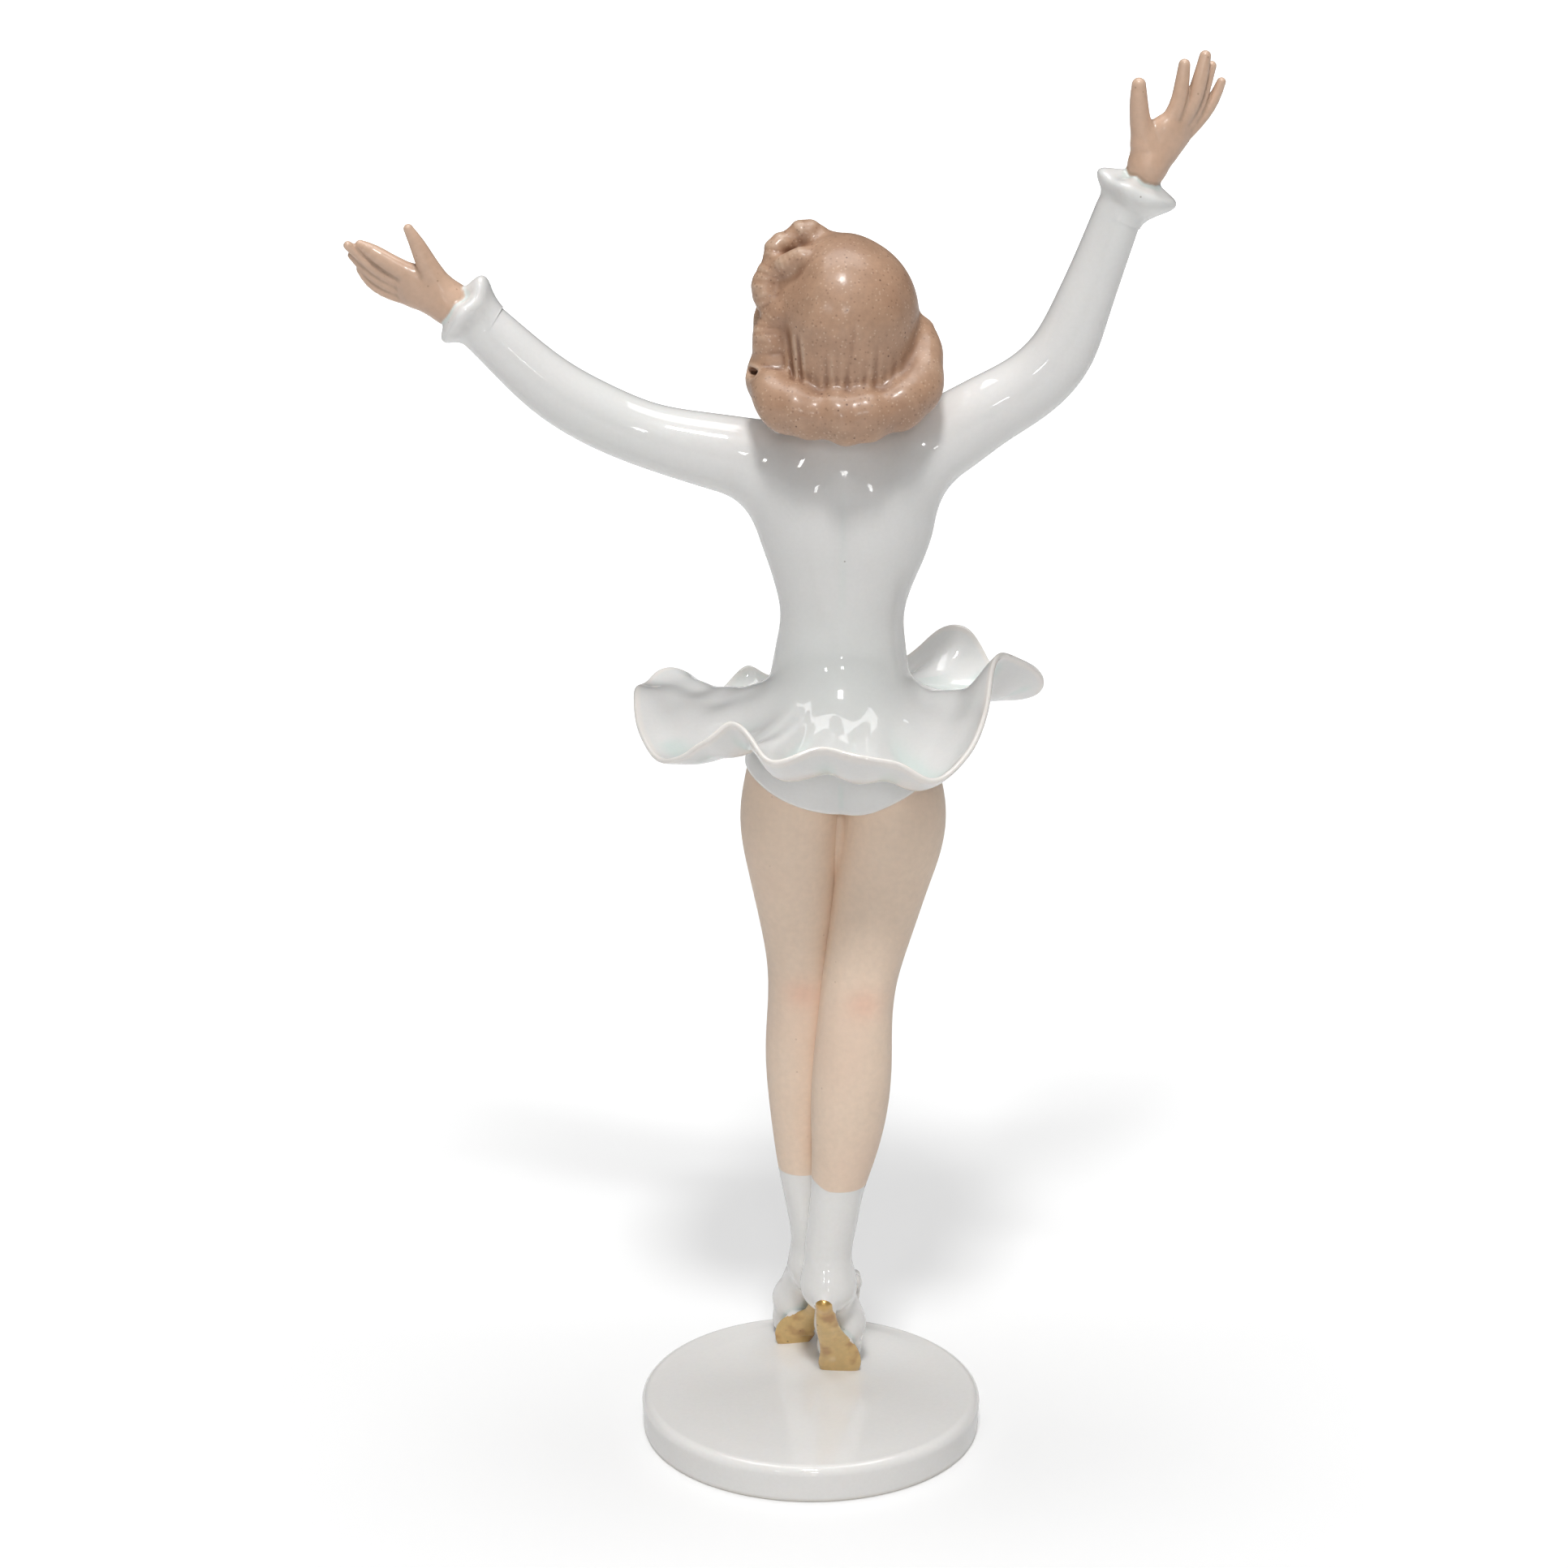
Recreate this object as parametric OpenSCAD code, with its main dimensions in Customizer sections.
// A dancer on tiptoe, seen from behind as she spreads her arms: a slip-cast porcelain figurine.
// Her back faces -Y, her face +Y, and her own left is -X. The origin is the centre of the foot ring.
// Every piece is a separate casting that was luted to its neighbours before the firing.

/* [Size] */
// Height from the table to the highest fingertip
figure_h = 255; // [240:5:280]

/* [Base] */
// Diameter of the disc where it stands on the table
base_d = 63; // [60:1:72]
// Height of the disc at its edge
base_h = 7.1; // [6.5:0.1:9]
// Wall of the disc's hollow underside
base_wall = 2.3; // [2:0.1:2.6]
// How far the disc's side leans in
base_draft = 0.5; // [0:0.1:1]
// Diameter of the mound of slip that holds the toes
mound_d = 34; // [30:1:38]
// Height of the mound above the disc
mound_h = 1.3; // [1:0.1:1.6]

/* [Porcelain] */
// Wall of the hollow castings
wall = 3.4; // [3:0.1:4]
// Thickness of the skirt's thrown sheet
sheet_t = 1.3; // [1.1:0.1:1.6]
// Thickness of the shoe soles
sole_t = 1.3; // [1.1:0.1:1.6]

/* [Skirt] */
// How strongly the rim waves, as a share of the true one
frill = 1; // [0.6:0.1:1.1]
// Panels that the skirt was joined from
panels = 4; // [4:1:4]

/* [Hidden] */

design_h = 255;                 // the height that the stations below were drawn at
k = figure_h / design_h;
figure_base = 7.1;              // the disc's height in that drawing
lift = base_h - figure_base * k;
sides = 20;                     // corners of each limb's cross-section
steps = 3;                      // rings per span between two stations
far = 300;                      // larger than the figure
white = "whitesmoke";
flesh = "bisque";
brown = "rosybrown";
gilt = "goldenrod";

// Stations: x, y, z, half-width and half-depth of the cross-section.
BODY = [[5.5, 8, 116, 11.5, 6.5], [5.6, 8, 120, 15.8, 10.4], [5.7, 8, 127, 17.9, 12.4],
        [5.3, 8.3, 137, 15.0, 11.0], [4.9, 8.5, 146, 12.2, 9.0], [5.1, 8.5, 150, 11.4, 8.6],
        [5.3, 8.5, 155, 11.0, 8.4], [5.5, 8.3, 160, 11.9, 8.8], [5.8, 8.2, 166, 14.0, 9.8],
        [5.7, 8.2, 172, 15.9, 10.6], [5.4, 8.0, 178, 16.6, 10.4], [5.2, 7.6, 184, 15.4, 9.2],
        [5.2, 7.2, 189, 11.0, 7.2], [5.3, 7.0, 193.5, 5.6, 5.4]];
ARMPITS = 9;                    // the highest body station that the torso is hollow to
WAIST = 5;                      // the body station where the briefs end and the torso begins
LEFT_LIMB = [[-3.4, 16.6, 10.0, 4.0, 3.0], [-2.8, 15.6, 15, 4.1, 3.6], [-1.4, 13.8, 22, 4.3, 4.9],
             [-0.2, 12.9, 29, 4.3, 5.0], [0.1, 13, 36, 4.0, 4.2], [-0.4, 13.2, 45.5, 4.8, 4.9],
             [-0.6, 13.4, 53, 5.9, 6.1], [-1.2, 13.4, 62, 6.8, 6.8], [-1.6, 13, 71, 6.9, 6.9],
             [-1.5, 11.8, 83, 6.4, 6.2], [-2.3, 10.4, 95, 6.7, 7.0], [-3.4, 9, 109, 8.0, 8.6],
             [-3.9, 8, 125, 8.6, 9.4]];
RIGHT_LIMB = [[5.3, 6.2, 10.0, 4.1, 3.0], [5.2, 6.2, 15, 4.3, 3.8], [4.2, 5.2, 22, 4.7, 5.2],
              [3.3, 4.6, 29, 4.6, 5.2], [3.8, 4.6, 36, 4.0, 4.2], [4.9, 4.2, 46, 5.1, 5.0],
              [5.8, 4.0, 53, 6.3, 6.2], [6.9, 3.8, 62, 7.2, 7.0], [7.6, 4.0, 71, 7.3, 7.0],
              [8.3, 5.4, 83, 6.8, 6.4], [10.2, 6.4, 95, 7.7, 7.4], [13.0, 7.2, 109, 8.9, 9.0],
              [14.2, 8, 125, 9.6, 9.6]];
BOOT_TOP = 5;                   // the limb station where the boot ends and the bare leg begins
LEFT_TOE = [-5.4, 22, 9.6];
RIGHT_TOE = [5.6, 13.4, 9.6];
LEFT_SOLE = [[-4.2, 14.2, 9.2, 3.9, 0.8], [-3.4, 12.6, 12.6, 3.6, 0.8], [-2.2, 10.6, 17, 2.2, 0.8],
             [-1.0, 8.9, 22.5, 1.7, 0.8], [-0.6, 8.3, 25.0, 0.8, 0.6]];
RIGHT_SOLE = [[5.3, 3.6, 9.2, 3.8, 0.8], [4.8, 2.6, 13.2, 3.5, 0.8], [3.4, 0.9, 17.6, 2.2, 0.8],
              [2.3, -0.2, 22.8, 1.6, 0.8], [2.1, -0.4, 25.2, 0.8, 0.6]];
LEFT_ARM = [[2, 7, 182.6, 8.2, 7.4], [-5, 7, 182.9, 8.0, 7.0], [-12, 7, 184, 7.2, 6.6],
            [-20, 7.5, 185.8, 6.4, 6.2], [-28.5, 8, 187.9, 5.8, 5.7], [-37, 8, 191.4, 5.7, 5.5],
            [-45.5, 8, 196.6, 5.4, 5.2], [-53.5, 9, 203.6, 4.9, 4.8], [-57.2, 9.3, 206.7, 4.6, 4.6],
            [-59.0, 9.5, 208.6, 5.7, 5.6], [-60.6, 9.7, 210.2, 7.0, 6.8], [-61.6, 9.8, 210.9, 5.8, 5.4],
            [-62.2, 10, 211.2, 3.3, 3.0]];
RIGHT_ARM = [[8, 7, 182.8, 8.2, 7.4], [15, 7, 184.2, 8.0, 7.0], [23, 7, 187.6, 7.2, 6.6],
             [31, 7.5, 192.6, 6.4, 6.1], [38, 8, 197.4, 5.9, 5.7], [42.8, 8, 202, 5.6, 5.5],
             [46.3, 8.5, 209.5, 5.0, 5.0], [49.2, 9, 217, 4.5, 4.5], [52.6, 9.5, 226.2, 4.3, 4.3],
             [54.0, 9.6, 229.0, 5.4, 5.3], [55.9, 9.7, 231.6, 7.0, 6.7], [56.7, 9.9, 232.8, 5.6, 5.2],
             [57.2, 10, 233.4, 3.1, 2.8]];
SHOULDER = 2;                   // the arm station where the sleeve begins
SLEEVE_END = 8;                 // and the one where the cuff begins
// Fingers: knuckle, middle joint and tip, each x, y, z and radius, from the thumb to the little one.
LEFT_FINGERS = [[[-65, 9.2, 213.6, 2.7], [-68.2, 8.4, 219.3, 1.9], [-70.1, 8.2, 223.5, 1.2]],
                [[-70.2, 10, 215.8, 2.3], [-75, 11, 218.9, 1.7], [-78.3, 12, 220.8, 1.2]],
                [[-70.8, 11, 213.9, 2.2], [-77, 11.8, 217.4, 1.4], [-80.8, 12.6, 220.6, 1.0]],
                [[-70.3, 11.2, 212.2, 2.1], [-76.6, 12, 215.1, 1.4], [-80.0, 12.8, 218.7, 1.0]],
                [[-69, 11, 210.6, 2.0], [-75.6, 11.8, 212.8, 1.3], [-78.8, 12.4, 216.2, 0.9]]];
RIGHT_FINGERS = [[[56.4, 9.2, 239.5, 2.2], [56.2, 8.8, 244.8, 1.6], [56.0, 8.8, 248.7, 1.2]],
                 [[60.0, 10, 241.6, 2.0], [62.3, 10, 247.3, 1.3], [63.4, 10.4, 252.0, 1.0]],
                 [[61.9, 10.6, 241.2, 1.9], [65.2, 10.6, 247.5, 1.4], [67.1, 11, 253.9, 1.1]],
                 [[62.7, 11.2, 240.0, 1.9], [66.7, 12, 246.0, 1.3], [68.1, 12.6, 252.2, 1.0]],
                 [[62.6, 11.4, 238.4, 1.8], [67.8, 12.6, 243.3, 1.2], [69.7, 13, 248.9, 0.9]]];
LEFT_WRIST = [-62.3, 10, 210.6, 3.1];
RIGHT_WRIST = [57.2, 10, 233.3, 2.9];
// The skirt's rim, from the middle of the back round by her right side: x, y, z.
RIM = [[3, -25, 141.5], [8.5, -25, 140], [14, -24.5, 138.5], [20, -23, 135.5], [26.5, -18, 138],
       [29.5, -10, 142.5], [31, -3, 147], [32.5, 2, 149.5], [36, 5.5, 148.5], [39.5, 8, 146],
       [41, 12, 141.5], [37.5, 20, 137.5], [32, 26.5, 141.5], [27.5, 29, 146.5], [23.5, 31, 146],
       [18.5, 31.5, 141], [12, 33, 137.5], [5, 34, 140], [-1.5, 33.5, 137], [-7, 31.5, 136.5],
       [-11, 31, 138.8], [-16.5, 29, 134.5], [-21, 27, 138], [-25.5, 24, 140.5], [-29, 17, 140],
       [-31, 8, 142.5], [-31, 1, 140.5], [-29.5, -7, 138], [-25.5, -14, 136], [-21, -19, 139],
       [-17.5, -22, 143], [-14.5, -23, 145], [-11, -24, 143.8], [-7, -24.5, 139.3], [-2, -25, 140.3]];
// Where the four panels meet, counted in the rim's points.
CUTS = [4.5, 12.5, 22.5, 28.5];
WAIST_AXIS = [5, 8.4];
RIM_LEVEL = 138.5;              // the height that the frills wave about
// The sheet's profile: share of the way out from the waist to the rim, height, and share of the rim's wave.
PROFILE = [[-0.12, 152, 0], [0.02, 148, 0], [0.2, 141.5, 0], [0.42, 136, 0.1],
           [0.66, 132.8, 0.3], [0.86, 134.6, 0.65], [1, 138.5, 1]];
WAIST_A = 12.2;
WAIST_B = 9.0;
HEAD_AT = [4.3, 5.6, 208];
HEAD_TURN = [12, -6, 32];       // chin up, a lean and a turn to her left
HEAD = [[0, 4.5, -13.4, 2.6, 3.0], [0, 3.4, -11.6, 5.6, 7.0], [0, 1.8, -7.5, 8.2, 10.2],
        [0, 0.6, -2, 9.8, 12.0], [0, 0, 4, 10.6, 12.6], [0, -0.4, 10, 8.4, 10.2],
        [0, -0.6, 13.6, 3.6, 4.4]];
CAP = [[0, -2.4, -12, 11.0, 11.0], [0, -2, -7, 12.8, 13.0], [0, -1.4, 0, 13.8, 14.6],
       [0, -1.0, 7, 13.0, 14.2], [0, -0.8, 12.5, 9.8, 10.8], [0, -0.6, 16.2, 5.0, 5.6]];
ROLL = [[-8.6, 4, 202.5, 2.8, 2.8], [-8.6, -1.5, 198.6, 3.7, 3.7], [-5, -6.5, 196, 4.2, 4.2],
        [1, -9, 195, 4.4, 4.4], [8, -9.2, 194.8, 4.5, 4.5], [14, -7, 196.2, 4.5, 4.5],
        [18.4, -2.6, 199, 4.3, 4.3], [19.4, 2.6, 203.6, 3.7, 3.7], [18, 6, 208.6, 2.4, 2.4]];
WAVES = [[9, 14.5, 222, 2.4, 2.2], [2, 14.6, 224, 3.1, 2.8], [-4, 12.4, 221.4, 2.8, 2.8],
         [-7, 9.4, 217.5, 3.2, 3.2], [-8.2, 7.4, 213, 2.4, 2.6], [-7.8, 6.2, 208, 3.0, 3.0],
         [-8.4, 5.0, 203.6, 2.4, 2.6]];

function unit(v) = v / norm(v);
function mix(a, b, t) = a + (b - a) * t;
function at(p) = [p[0], p[1], p[2]];
function clamp(i, n) = max(0, min(n - 1, i));

// A smooth curve through p1 and p2, with p0 before and p3 after them.
function curve(p0, p1, p2, p3, t) =
    0.5 * (2 * p1 + (p2 - p0) * t + (2 * p0 - 5 * p1 + 4 * p2 - p3) * t * t
           + (3 * p1 - p0 - 3 * p2 + p3) * t * t * t);

// The stations with (steps - 1) more between each two.
function smooth(s) =
    let (n = len(s))
    [for (i = [0 : n - 2], j = [0 : steps - 1])
        curve(s[clamp(i - 1, n)], s[i], s[i + 1], s[clamp(i + 2, n)], j / steps),
     s[n - 1]];

// One elliptical ring for each smoothed station, square to the curve and with its depth along Y.
function rings(stations) =
    let (s = smooth(stations), n = len(s))
    [for (i = [0 : n - 1])
        let (way = unit(at(s[clamp(i + 1, n)]) - at(s[clamp(i - 1, n)])),
             wide = unit(cross([0, 1, 0], way)),
             deep = cross(way, wide))
        [for (j = [0 : sides - 1])
            at(s[i]) + s[i][3] * cos(360 * j / sides) * wide + s[i][4] * sin(360 * j / sides) * deep]];

function part_of(list, from, to) = [for (i = [from : to]) list[i]];

// A closed solid through rings that all have the same number of corners.
module skin(r) {
    n = len(r);
    m = len(r[0]);
    polyhedron(
        points = [for (ring = r) each ring],
        faces = concat(
            [[for (j = [0 : m - 1]) j]],
            [[for (j = [m - 1 : -1 : 0]) (n - 1) * m + j]],
            [for (i = [0 : n - 2], j = [0 : m - 1]) [i * m + j, (i + 1) * m + j, (i + 1) * m + (j + 1) % m]],
            [for (i = [0 : n - 2], j = [0 : m - 1])
                [i * m + j, (i + 1) * m + (j + 1) % m, i * m + (j + 1) % m]]));
}

// The whole limb, or only from one station to another.
module limb(stations, from = 0, to = -1) {
    last = to < 0 ? len(stations) - 1 : to;
    skin(part_of(rings(stations), from * steps, last * steps));
}

// The figure's own frame, scaled to its height and standing on the disc.
module figure() {
    translate([0, 0, lift]) scale(k) children();
}

// Everything on the side of p that n points to.
module beyond(p, n) {
    translate(p) rotate([0, acos(n.z / norm(n)), atan2(n.y, n.x)])
        translate([-far / 2, -far / 2, 0]) cube(far);
}

module head_frame() {
    translate(HEAD_AT) rotate(HEAD_TURN) children();
}

// Everything on the side of the disc's top that the figure is on.
module above_disc() {
    beyond([0, 0, figure_base], [0, 0, 1]);
}

function rim_count() = len(RIM);
function rim_at(i) =
    let (n = rim_count(), p = RIM[i - n * floor(i / n)])
    [p[0], p[1], RIM_LEVEL + (p[2] - RIM_LEVEL) * frill];

// The rim at a position counted in its points.
function rim(u) =
    let (i = floor(u), t = u - i)
    curve(rim_at(i - 1), rim_at(i), rim_at(i + 1), rim_at(i + 2), t);

function waist_reach(angle) =
    WAIST_A * WAIST_B / norm([WAIST_B * cos(angle), WAIST_A * sin(angle)]);

// A point of the sheet's middle: u round the rim, v down the profile.
function sheet(u, v) =
    let (n = len(PROFILE), i = clamp(floor(v), n - 1), t = v - i,
         r = rim(u),
         p = curve(PROFILE[clamp(i - 1, n)], PROFILE[i], PROFILE[clamp(i + 1, n)],
                   PROFILE[clamp(i + 2, n)], t),
         away = [r[0], r[1]] - WAIST_AXIS,
         angle = atan2(away[1], away[0]),
         out = mix(waist_reach(angle), norm(away), p[0]))
    [WAIST_AXIS[0] + out * cos(angle), WAIST_AXIS[1] + out * sin(angle),
     p[1] + (r[2] - RIM_LEVEL) * p[2]];

function sheet_normal(u, v) =
    let (e = 0.02, along = sheet(u + e, v) - sheet(u - e, v),
         down = sheet(u, min(v + e, len(PROFILE) - 1)) - sheet(u, max(v - e, 0)))
    unit(cross(along, down));

// A closed ring of points through the sheet at u: down one face and back up the other.
function sheet_section(u, cols) =
    let (last = len(PROFILE) - 1)
    concat([for (j = [0 : cols]) sheet(u, last * j / cols)
                + (0.5 * sheet_t - (j == cols ? 0.25 : 0)) * sheet_normal(u, last * j / cols)],
           [for (j = [cols : -1 : 0]) sheet(u, last * j / cols)
                - (0.5 * sheet_t - (j == cols ? 0.25 : 0)) * sheet_normal(u, last * j / cols)]);

// A sector of the sheet between two cuts, closed by strips across its thickness.
module skirt_panel(from, to) {
    cols = 12;
    m = 2 * (cols + 1);
    n = 2 * (to - from) + 1;
    end = (n - 1) * m;
    color(white) figure() difference() {
        polyhedron(
            points = [for (i = [0 : n - 1]) each sheet_section(from + i / 2, cols)],
            faces = concat(
                [for (j = [0 : cols - 1]) each [[j + 1, j, m - 1 - j], [j + 1, m - 1 - j, m - 2 - j]]],
                [for (j = [0 : cols - 1]) each [[end + j, end + j + 1, end + m - 1 - j],
                                                [end + j + 1, end + m - 2 - j, end + m - 1 - j]]],
                [for (i = [0 : n - 2], j = [0 : m - 1])
                    [i * m + j, i * m + (j + 1) % m, (i + 1) * m + (j + 1) % m]],
                [for (i = [0 : n - 2], j = [0 : m - 1])
                    [i * m + j, (i + 1) * m + (j + 1) % m, (i + 1) * m + j]]));
        limb(BODY);
    }
}

// A chain of rounded links through points that each hold x, y, z and a radius.
module chain(points) {
    for (i = [0 : len(points) - 2])
        hull() {
            translate(at(points[i])) sphere(r = points[i][3], $fn = 16);
            translate(at(points[i + 1])) sphere(r = points[i + 1][3], $fn = 16);
        }
}

module palm(fingers, wrist) {
    for (i = [1 : 3])
        hull() {
            translate(at(wrist)) sphere(r = wrist[3], $fn = 20);
            translate(at(fingers[i][0])) sphere(r = fingers[i][0][3], $fn = 16);
            translate(at(fingers[i + 1][0])) sphere(r = fingers[i + 1][0][3], $fn = 16);
        }
    hull() {
        translate(at(wrist)) sphere(r = wrist[3], $fn = 20);
        translate(at(fingers[0][0])) sphere(r = fingers[0][0][3], $fn = 16);
        translate(at(fingers[1][0])) sphere(r = fingers[1][0][3], $fn = 16);
    }
}

module hand(fingers, wrist, arm) {
    color(brown) figure() difference() {
        union() {
            palm(fingers, wrist);
            for (f = fingers) chain(f);
        }
        limb(arm, SLEEVE_END, len(arm) - 1);
    }
}

// The disc is thrown hollow: it stands on the ring of its wall.
module base_disc() {
    r = base_d / 2;
    edge = 1.6;
    color(white) difference() {
        rotate_extrude($fn = 96) union() {
            polygon([[0, 0], [r - 0.8, 0], [r, 0.8], [r - base_draft, base_h - edge],
                     [r - base_draft - 0.4, base_h - 0.6], [r - base_draft - edge, base_h], [0, base_h]]);
        }
        translate([0, 0, -1]) cylinder(h = base_h - base_wall + 1, r = r - base_wall - 0.8, $fn = 96);
    }
}

// A low lens of slip round the toes, turned like the disc.
module base_mound() {
    reach = mound_d / 2;
    color(white) difference() {
        translate([2, 11, base_h]) rotate_extrude($fn = 60)
            polygon([[0, 0], [reach, 0], [0.9 * reach, 0.2 * mound_h], [0.75 * reach, 0.45 * mound_h],
                     [0.55 * reach, 0.72 * mound_h], [0.3 * reach, 0.92 * mound_h], [0, mound_h]]);
        figure() {
            left_foot();
            right_foot();
            slab(LEFT_SOLE);
            slab(RIGHT_SOLE);
        }
    }
}

module foot(stations, toe) {
    limb(stations, 0, BOOT_TOP);
    hull() {
        translate(at(stations[0])) sphere(r = 3.6, $fn = 20);
        translate(toe) sphere(r = 2.4, $fn = 20);
    }
}

module left_foot() {
    foot(LEFT_LIMB, LEFT_TOE);
}

module right_foot() {
    foot(RIGHT_LIMB, RIGHT_TOE);
}

module slab(stations) {
    widened = [for (p = stations) [p[0], p[1], p[2], p[3], p[4] * sole_t / 1.3 + 0.9]];
    limb(widened);
}

module left_boot() {
    color(white) figure() intersection() {
        difference() {
            left_foot();
            right_foot();
        }
        above_disc();
    }
}

module right_boot() {
    color(white) figure() intersection() {
        right_foot();
        above_disc();
    }
}

module left_sole() {
    color(gilt) figure() intersection() {
        difference() {
            slab(LEFT_SOLE);
            left_foot();
            right_foot();
            slab(RIGHT_SOLE);
        }
        above_disc();
    }
}

module right_sole() {
    color(gilt) figure() intersection() {
        difference() {
            slab(RIGHT_SOLE);
            right_foot();
            left_foot();
        }
        above_disc();
    }
}

module right_boot_bow() {
    color(white) figure() difference() {
        union() {
            hull() {
                translate([8.8, 9.2, 18.6]) sphere(r = 1.2, $fn = 20);
                translate([9.2, 7.2, 19.6]) sphere(r = 1.0, $fn = 20);
            }
            hull() {
                translate([8.8, 9.2, 18.6]) sphere(r = 1.2, $fn = 20);
                translate([7.6, 11.0, 19.4]) sphere(r = 1.1, $fn = 20);
            }
            hull() {
                translate([8.8, 9.2, 18.6]) sphere(r = 1.2, $fn = 20);
                translate([9.4, 8.4, 16.4]) sphere(r = 0.9, $fn = 20);
            }
        }
        right_foot();
    }
}

module left_leg() {
    color(flesh) figure() difference() {
        limb(LEFT_LIMB, BOOT_TOP, len(LEFT_LIMB) - 1);
        limb(RIGHT_LIMB, BOOT_TOP, len(RIGHT_LIMB) - 1);
        right_foot();
        limb(BODY, 0, WAIST);
    }
}

module right_leg() {
    color(flesh) figure() difference() {
        limb(RIGHT_LIMB, BOOT_TOP, len(RIGHT_LIMB) - 1);
        left_foot();
        limb(BODY, 0, WAIST);
    }
}

// The same stations with every ring drawn in by the wall.
function hollowed(stations) = [for (p = stations) [p[0], p[1], p[2], p[3] - wall, p[4] - wall]];

// The seat, closed below and open to the torso.
module briefs() {
    color(white) figure() difference() {
        limb(BODY, 0, WAIST);
        intersection() {
            limb(hollowed(BODY), 1, WAIST + 1);
            beyond([0, 0, 123], [0, 0, 1]);
        }
    }
}

// Back, bust and shoulders, hollow up to the armpits.
module torso() {
    color(white) figure() difference() {
        union() {
            limb(BODY, WAIST, len(BODY) - 1);
            limb(LEFT_ARM, 0, SHOULDER);
            limb(RIGHT_ARM, 0, SHOULDER);
            for (x = [-1.6, 12.2])
                translate([x, 13.2, 175]) sphere(r = 6.4, $fn = 32);
        }
        intersection() {
            limb(hollowed(BODY), WAIST - 1, ARMPITS);
            beyond([0, 0, 140], [0, 0, 1]);
        }
    }
}

module skirt_back() {
    skirt_panel(CUTS[3] - rim_count(), CUTS[0]);
}

module skirt_right() {
    skirt_panel(CUTS[0], CUTS[1]);
}

module skirt_front() {
    skirt_panel(CUTS[1], CUTS[2]);
}

module skirt_left() {
    skirt_panel(CUTS[2], CUTS[3]);
}

module sleeve(arm) {
    color(white) figure() difference() {
        limb(arm, SHOULDER, SLEEVE_END);
        limb(BODY);
    }
}

module left_sleeve() {
    sleeve(LEFT_ARM);
}

module right_sleeve() {
    sleeve(RIGHT_ARM);
}

module cuff(arm) {
    color(white) figure() limb(arm, SLEEVE_END, len(arm) - 1);
}

module left_cuff() {
    cuff(LEFT_ARM);
}

module right_cuff() {
    cuff(RIGHT_ARM);
}

module left_hand() {
    hand(LEFT_FINGERS, LEFT_WRIST, LEFT_ARM);
}

module right_hand() {
    hand(RIGHT_FINGERS, RIGHT_WRIST, RIGHT_ARM);
}

module skull() {
    head_frame() limb(HEAD);
}

// Head, face and neck.
module head() {
    color(flesh) figure() difference() {
        union() {
            skull();
            head_frame() {
                hull() {
                    translate([0, 11.6, 1.6]) sphere(r = 1.0, $fn = 20);
                    translate([0, 13.6, -3.4]) sphere(r = 1.2, $fn = 20);
                }
                translate([0, 11.0, -7.4]) scale([2.4, 1.1, 1.0]) sphere(r = 1, $fn = 24);
                translate([0, 9.2, -11.6]) sphere(r = 1.9, $fn = 24);
            }
            hull() {
                translate([5.3, 7.0, 192]) cylinder(h = 1, r = 5.4, $fn = 48);
                translate([4.6, 6.4, 199]) cylinder(h = 1, r = 5.2, $fn = 48);
            }
        }
        limb(BODY);
    }
}

module cap_form() {
    difference() {
        head_frame() limb(CAP);
        head_frame() translate([0, 14, -5]) scale([10.2, 13, 13.5]) sphere(r = 1, $fn = 48);
        beyond([0, 0, 193], [0, 0, -1]);
    }
}

module hair_cap() {
    color(brown) figure() difference() {
        cap_form();
        skull();
        translate([5, 6.7, 190]) cylinder(h = 12, r = 5.8, $fn = 48);
    }
}

module hair_roll() {
    color(brown) figure() difference() {
        limb(ROLL);
        cap_form();
        skull();
        limb(RIGHT_ARM, 0, 4);
        limb(LEFT_ARM, 0, 4);
        limb(BODY);
    }
}

module hair_waves() {
    color(brown) figure() difference() {
        limb(WAVES);
        cap_form();
        skull();
        limb(ROLL);
    }
}

base_disc();
base_mound();
left_sole();
right_sole();
left_boot();
right_boot();
right_boot_bow();
left_leg();
right_leg();
briefs();
torso();
skirt_back();
skirt_right();
skirt_front();
skirt_left();
left_sleeve();
right_sleeve();
left_cuff();
right_cuff();
left_hand();
right_hand();
head();
hair_cap();
hair_roll();
hair_waves();
